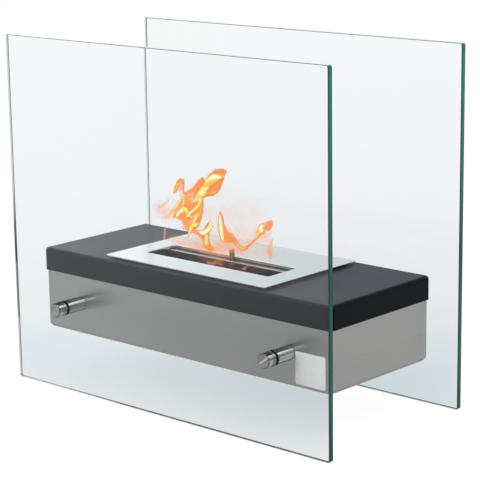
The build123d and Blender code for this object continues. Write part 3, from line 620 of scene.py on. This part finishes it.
        (0.36, 0.22, 0.88, 0.50, [(7.4, 160.0, 0.57), (6.6, 157.2, 0.98), (5.7, 152.8, 1.15), (5.3, 147.7, 1.15), (5.4, 142.6, 1.07), (6.4, 138.4, 0.99), (7.8, 136.1, 0.82)]),
        (0.38, 0.24, 0.92, 0.50, [(7.8, 159.6, 0.57), (9.4, 155.9, 0.90), (10.1, 151.8, 0.98), (10.7, 147.7, 1.07), (10.9, 142.6, 1.23), (10.7, 138.3, 1.23)]),
        (0.30, 0.22, 0.90, 0.40, [(7.5, 159.9, 0.66), (7.5, 158.6, 0.98)]),
        (1.10, 0.48, 1.00, 0.80, [(7.4, 158.0, 0.49), (7.6, 154.8, 1.39), (7.7, 150.6, 1.97), (8.0, 145.5, 2.30), (8.4, 141.3, 1.97), (8.9, 138.0, 1.23), (9.7, 136.1, 0.49)]),
        (0.30, 0.20, 0.35, 0.30, [(15.7, 145.9, 0.49), (17.3, 147.1, 0.49), (18.9, 146.6, 0.49)]),
    ],
    'right': [
        (0.14, 0.08, 0.40, 0.10, [(29.2, 136.8, 1.14), (33.1, 139.6, 1.55), (35.5, 137.9, 1.30)]),
        (0.08, 0.04, 0.32, 0.00, [(49.3, 144.9, 1.94), (53.4, 146.3, 2.58), (56.8, 148.3, 1.61)]),
        (0.24, 0.12, 0.84, 0.35, [(51.3, 149.7, 1.61), (52.7, 152.3, 2.58), (54.6, 153.5, 3.22), (56.5, 155.7, 2.57), (58.0, 158.6, 0.88)]),
        (0.30, 0.22, 0.85, 0.30, [(57.9, 159.1, 0.56), (57.2, 156.5, 1.12), (56.2, 153.1, 1.21), (55.8, 150.3, 0.80)]),
        (0.28, 0.20, 0.80, 0.30, [(50.6, 155.9, 0.64), (53.8, 156.9, 0.80), (56.7, 158.2, 0.72)]),
        (0.30, 0.16, 0.80, 0.30, [(46.5, 145.7, 0.65), (49.8, 147.3, 0.89), (52.4, 148.0, 0.72)]),
        (0.31, 0.20, 0.96, 0.55, [(12.7, 136.8, 1.81), (15.4, 134.2, 2.06), (18.7, 131.6, 1.97), (23.2, 130.0, 1.97), (27.0, 131.0, 1.72), (31.4, 134.0, 1.14), (36.1, 137.2, 0.98), (40.6, 140.6, 1.14), (44.1, 144.1, 1.54), (47.2, 147.7, 1.86)]),
        (0.36, 0.20, 0.85, 0.40, [(44.8, 148.8, 0.65), (46.6, 152.2, 0.81), (48.6, 155.0, 0.89), (50.6, 155.5, 0.72)]),
        (0.74, 0.34, 0.96, 0.65, [(13.5, 135.8, 0.58), (16.5, 133.3, 0.99), (19.8, 131.1, 1.15), (23.9, 130.6, 0.98), (27.1, 131.5, 0.57)]),
        (0.82, 0.36, 0.98, 0.70, [(40.7, 141.0, 0.49), (43.0, 143.5, 0.97), (45.2, 146.0, 1.21), (47.4, 148.6, 1.29)]),
        (1.30, 0.44, 1.00, 0.85, [(47.4, 148.3, 0.97), (48.6, 150.5, 2.34), (49.4, 152.7, 2.02), (49.6, 154.8, 0.89)]),
        (1.00, 0.42, 1.00, 0.80, [(48.0, 148.7, 0.97), (49.7, 149.6, 1.45), (50.5, 150.9, 0.97)]),
        (0.20, 0.10, 0.55, 0.30, [(59.6, 145.8, 0.32), (59.2, 142.1, 1.05), (58.2, 137.9, 1.77), (57.7, 133.7, 2.17), (57.6, 129.6, 1.69), (57.4, 125.8, 0.73)]),
        (0.62, 0.30, 0.72, 0.50, [(58.1, 135.0, 0.48), (58.0, 132.5, 0.89), (57.6, 130.2, 0.48)]),
    ],
}
# middle of the sheet in y, its swing and the phase of its wave, and the mesh step, in mm
SHEETS = {
    "ember": (8.0, 1.0, 0.5, 0.4),
    "veil": (-13.0, 1.5, 2.0, 1.4),
    "main": (-12.0, 2.5, 0.3, 0.5),
    "left": (-8.5, 2.5, 1.1, 0.5),
    "mid": (-15.5, 2.0, 2.4, 0.5),
    "right": (-11.0, 3.0, 0.0, 0.5),
}


def spline(points, steps):
    """Points of a smooth line through the given ones, all their numbers at once."""
    out = []
    n = len(points)
    for i in range(n - 1):
        p0, p1, p2, p3 = points[max(i - 1, 0)], points[i], points[i + 1], points[min(i + 2, n - 1)]
        for k in range(steps):
            s = k / steps
            out.append([0.5 * ((2 * b) + (-a + c) * s + (2 * a - 5 * b + 4 * c - d) * s * s + (-a + 3 * b - 3 * c + d) * s ** 3)
                        for a, b, c, d in zip(p0, p1, p2, p3)])
    out.append(list(points[-1]))
    return out


def smooth(v):
    v = np.clip(v, 0.0, 1.0)
    return v * v * (3 - 2 * v)


def flame_sheet(name, strokes, y0, swing, phase, step):
    """A closed sheet, thick as a lens where a tongue is broad and thin at its rims."""
    lines = [(core, rim, d, crisp, np.array(spline(pts, 12))) for core, rim, d, crisp, pts in strokes]
    every = np.vstack([q[4] for q in lines])
    reach = every[:, 2].max() * 1.3 / 0.75 + 1
    xs = np.arange(every[:, 0].min() - reach, every[:, 0].max() + reach, step)
    zs = np.arange(every[:, 1].min() - reach, every[:, 1].max() + reach, step)
    X, Z = np.meshgrid(xs, zs, indexing="ij")
    ragged = 0.05 * np.sin(0.83 * X + 0.31 * Z) * np.sin(0.57 * Z - 0.22 * X) + 0.035 * np.sin(1.9 * X - 0.7 * Z) * np.sin(1.3 * Z + 0.5 * X)
    heat, dens, body = np.zeros_like(X), np.zeros_like(X), np.zeros_like(X)
    for core, rim, d, crisp, line in lines:
        s, w = np.full_like(X, 9.0), np.zeros_like(X)
        for x, z, hw in line:
            hw = max(hw, 0.15)
            q = np.hypot((X - x) * 0.75, Z - z) / hw
            near = q < s
            s[near] = q[near]
            w[near] = hw
        s = s + ragged
        inner = 0.25 + 0.65 * crisp
        a = d * (1 - smooth((s - inner) / (1.18 - inner)))
        h = rim + (core - rim) * (1 - smooth((s - 0.38) / 0.46))
        heat = heat * (1 - a) + h * a
        dens = dens + a - dens * a
        if d > 0.3:
            body = np.maximum(body, w * np.sqrt(np.clip(1 - s * s, 0, 1)))
    temp = heat / np.maximum(dens, 1e-6)
    alpha = 1 - np.sqrt(1 - np.clip(dens, 0, 1) * 0.99)      # each of the two skins of the sheet
    half = np.minimum(3.5, 0.42 * body) + 0.10
    used = dens > 0.010
    cell = used[:-1, :-1] & used[1:, :-1] & used[:-1, 1:] & used[1:, 1:]
    need = np.zeros_like(used)
    for di in (0, 1):
        for dj in (0, 1):
            need[di:need.shape[0] - 1 + di, dj:need.shape[1] - 1 + dj] |= cell
    index = np.full(X.shape, -1)
    index[need] = np.arange(need.sum())
    count = int(need.sum())
    y = y0 + swing * np.sin(0.075 * X + 0.05 * Z + phase)
    front = np.stack([X[need], (y - half)[need], Z[need]], 1)
    back = np.stack([X[need], (y + half)[need], Z[need]], 1)
    faces = []
    for i, j in zip(*np.nonzero(cell)):
        a, b, c, d = index[i, j], index[i + 1, j], index[i + 1, j + 1], index[i, j + 1]
        faces.append((int(a), int(b), int(c), int(d)))
        faces.append((int(d) + count, int(c) + count, int(b) + count, int(a) + count))
        for (p, q), open_side in (((a, b), j == 0 or not cell[i, j - 1]), ((b, c), i + 1 >= cell.shape[0] or not cell[i + 1, j]),
                                  ((c, d), j + 1 >= cell.shape[1] or not cell[i, j + 1]), ((d, a), i == 0 or not cell[i - 1, j])):
            if open_side:
                faces.append((int(q), int(p), int(p) + count, int(q) + count))
    me = bpy.data.meshes.new(name)
    me.from_pydata((np.vstack([front, back]) * MM).tolist(), [], faces)
    for key, field in (("temp", temp), ("dens", alpha)):
        at = me.attributes.new(key, "FLOAT", "POINT")
        at.data.foreach_set("value", np.tile(np.clip(field[need], 0, 1), 2).astype(np.float32))
    for p in me.polygons:
        p.use_smooth = True
    me.update()
    me.materials.append(FLAME)
    o = link(bpy.data.objects.new(name, me))
    o.visible_shadow = False
    o.visible_glossy = False
    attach(o, "burner")
    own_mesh(o)
    return o


for key, strokes in FLAMES.items():
    flame_sheet("flame_" + key, strokes, *SHEETS[key])

# ------------------------------------------------------------------ floor, light, camera


# the floor seen through a panel is painted darker than the floor seen directly, and the floor seen by the object's
# surfaces is painted darker near it: painted shade
FLOOR_OWN, FLOOR_THROUGH, FLOOR_BOUNCE, FLOOR_BOUNCE_PAINTED_SHADE = 0.95, 0.89, 0.62, 0.26


def floor():
    m, t = new_material("pale_floor")
    lp = add(t, "ShaderNodeLightPath")
    bounced = math_node(t, "GREATER_THAN", math_node(t, "ADD", lp.outputs["Glossy Depth"], lp.outputs["Diffuse Depth"]), 0.5)
    through = math_node(t, "GREATER_THAN", lp.outputs["Transmission Depth"], 0.5)
    g = add(t, "ShaderNodeNewGeometry")

    def blob(x, y, r):
        d = add(t, "ShaderNodeVectorMath", {0: g.outputs["Position"], 1: (x, y, 0.0)}, operation="DISTANCE").outputs["Value"]
        return math_node(t, "POWER", 2.71828, math_node(t, "MULTIPLY", math_node(t, "MULTIPLY", d, d), -1 / r ** 2))

    grain = noise_tex(t, g.outputs["Position"], 40.0, 3.0, 0.5)
    # as seen directly, through a panel, and by the lit surfaces of the object; seen through a panel the floor carries
    # painted soft shadows of the object
    # painted shadow blobs round the object, seen only through a panel
    wide, tight = blob(0.06, 0.10, 0.73), blob(0.06, 0.10, 0.19)
    seen = math_node(t, "SUBTRACT", FLOOR_THROUGH, math_node(t, "MULTIPLY", wide, 0.139))
    left, back, far = blob(-0.22, -0.02, 0.16), blob(-0.45, 0.68, 0.45), blob(-0.67, 1.20, 1.0)
    painted_shadow_blobs = ((tight, (0.196, 0.132, 0.109)), (left, (0.064, 0.026, 0.006)), (back, (0.016, 0.011, 0.003)), (far, (0.040, 0.032, 0.020)))
    through_painted_shadows = [seen, seen, seen]
    for shape, depth in painted_shadow_blobs:
        through_painted_shadows = [math_node(t, "SUBTRACT", v, math_node(t, "MULTIPLY", shape, k)) for v, k in zip(through_painted_shadows, depth)]
    through_painted_shadows = add(t, "ShaderNodeCombineXYZ", {0: through_painted_shadows[0], 1: through_painted_shadows[1], 2: through_painted_shadows[2]}).outputs[0]
    # the floor seen by the object's surfaces is painted darker near the object: painted shade
    lit = math_node(t, "SUBTRACT", FLOOR_BOUNCE, math_node(t, "MULTIPLY", blob(0.10, -0.30, 0.35), FLOOR_BOUNCE_PAINTED_SHADE))
    col = mix_rgb(t, through, (FLOOR_OWN, FLOOR_OWN, FLOOR_OWN), through_painted_shadows)
    lit = add(t, "ShaderNodeCombineXYZ", {0: lit, 1: lit, 2: lit}).outputs[0]
    col = mix_rgb(t, bounced, col, lit)
    base = map_range(t, grain, 0.3, 0.7, 0.075, 0.085)
    b = principled(t, {"Base Color": add(t, "ShaderNodeCombineXYZ", {0: base, 1: base, 2: base}).outputs[0], "Roughness": 1.0,
                       "Specular IOR Level": 0.0, "Emission Color": col, "Emission Strength": 1.0})
    clear = add(t, "ShaderNodeBsdfTransparent")
    mix = add(t, "ShaderNodeMixShader", {0: g.outputs["Backfacing"], 1: b.outputs[0], 2: clear.outputs[0]})
    finish_material(t, b, mix)
    m.cycles.emission_sampling = "NONE"
    me = bpy.data.meshes.new("studio_floor")
    bm = bmesh.new()
    bmesh.ops.create_circle(bm, cap_ends=True, segments=64, radius=14.0)
    for v in bm.verts:
        v.co.z = -0.0002
    bm.to_mesh(me)
    bm.free()
    me.materials.append(m)
    o = link(bpy.data.objects.new("studio_floor", me))


floor()


def world():
    w = bpy.data.worlds.new("soft_studio")
    scene.world = w
    w.use_nodes = True
    t = w.node_tree
    t.nodes.clear()
    lp = add(t, "ShaderNodeLightPath")
    bounced = math_node(t, "GREATER_THAN", math_node(t, "ADD", lp.outputs["Glossy Depth"], lp.outputs["Diffuse Depth"]), 0.5)
    through = math_node(t, "GREATER_THAN", lp.outputs["Transmission Depth"], 0.5)
    d = add(t, "ShaderNodeTexCoord").outputs["Generated"]
    dot = add(t, "ShaderNodeVectorMath", {0: d, 1: (-0.80, 0.0, 0.60)}, operation="DOT_PRODUCT").outputs["Value"]
    k = math_node(t, "ADD", math_node(t, "MULTIPLY", dot, 0.5), 0.5)
    soft = ramp(t, k, [(0.08, (0.039, 0.040, 0.043)), (0.50, (0.57, 0.60, 0.635)), (0.80, (0.76, 0.80, 0.84)), (1.0, (0.84, 0.88, 0.92))])
    card = add(t, "ShaderNodeVectorMath", {0: d, 1: (-0.65, -0.72, 0.24)}, operation="DOT_PRODUCT").outputs["Value"]
    soft = mix_rgb(t, map_range(t, card, 0.88, 0.97, 0.0, 0.9, smooth=True), soft, (0.05, 0.05, 0.052))
    glow = add(t, "ShaderNodeVectorMath", {0: d, 1: (-0.86, 0.45, 0.24)}, operation="DOT_PRODUCT").outputs["Value"]
    glow = map_range(t, glow, 0.935, 0.975, 0.0, 0.60, smooth=True)
    high = add(t, "ShaderNodeVectorMath", {0: d, 1: (0.40, 0.72, 0.57)}, operation="DOT_PRODUCT").outputs["Value"]
    glow = math_node(t, "ADD", glow, map_range(t, high, 0.90, 0.97, 0.0, 0.38, smooth=True))
    soft = mix_rgb(t, 1.0, soft, add(t, "ShaderNodeCombineXYZ", {0: glow, 1: glow, 2: glow}).outputs[0], "ADD")
    # the backdrop seen through a panel is painted a little darker: painted shade
    own = mix_rgb(t, through, (1.0, 1.0, 1.0), (0.95, 0.95, 0.95))
    col = mix_rgb(t, bounced, own, soft)
    bg = add(t, "ShaderNodeBackground", {0: col, 1: 1.0})
    out = add(t, "ShaderNodeOutputWorld")
    t.links.new(bg.outputs[0], out.inputs[0])
    w.cycles.sampling_method = "NONE"


world()


def area(name, pos, look, size, power, color=(1, 1, 1)):
    li = bpy.data.lights.new(name, "AREA")
    li.shape = "RECTANGLE"
    li.size, li.size_y = size
    li.energy = power
    li.color = color
    o = link(bpy.data.objects.new(name, li))
    o.location = pos
    o.rotation_euler = (Vector(look) - Vector(pos)).to_track_quat("-Z", "Y").to_euler()
    o.visible_camera = False
    o.visible_transmission = False
    return o


area("small_card_right", (0.75, 0.05, 1.0), (0, 0, 0.1), (0.5, 0.5), 6.5)
area("softbox_left", (-2.0, -1.4, 1.6), (0, 0, 0.1), (3.0, 3.0), 34.0)
area("softbox_top", (-0.1, -0.2, 1.5), (0, 0, 0.1), (1.0, 1.0), 4.0)
area("softbox_front", (-0.25, -1.2, 1.15), (0, 0, 0.08), (0.5, 0.5), 5.0)

cam_data = bpy.data.cameras.new("camera")
cam_data.sensor_fit = "HORIZONTAL"
cam_data.sensor_width = 36.0
cam_data.lens = 1796.4 / 480 * 36.0
cam_data.clip_start, cam_data.clip_end = 0.05, 60.0
cam = link(bpy.data.objects.new("camera", cam_data))
yaw, pitch, roll = math.radians(42.19), math.radians(12.873), math.radians(-0.831)
fwd = Vector((-math.sin(yaw) * math.cos(pitch), math.cos(yaw) * math.cos(pitch), -math.sin(pitch)))
right = Vector((math.cos(yaw), math.sin(yaw), 0))
up = right.cross(fwd)
r2 = right * math.cos(roll) + up * math.sin(roll)
u2 = up * math.cos(roll) - right * math.sin(roll)
rot = Matrix((r2, u2, -fwd)).transposed().to_4x4()
cam.matrix_world = Matrix.Translation(Vector((0.9846, -1.0743, 0.4650))) @ rot
scene.camera = cam

scene.view_settings.view_transform = "Standard"
scene.view_settings.look = "None"
scene.view_settings.exposure = 0.0
scene.view_settings.gamma = 1.0
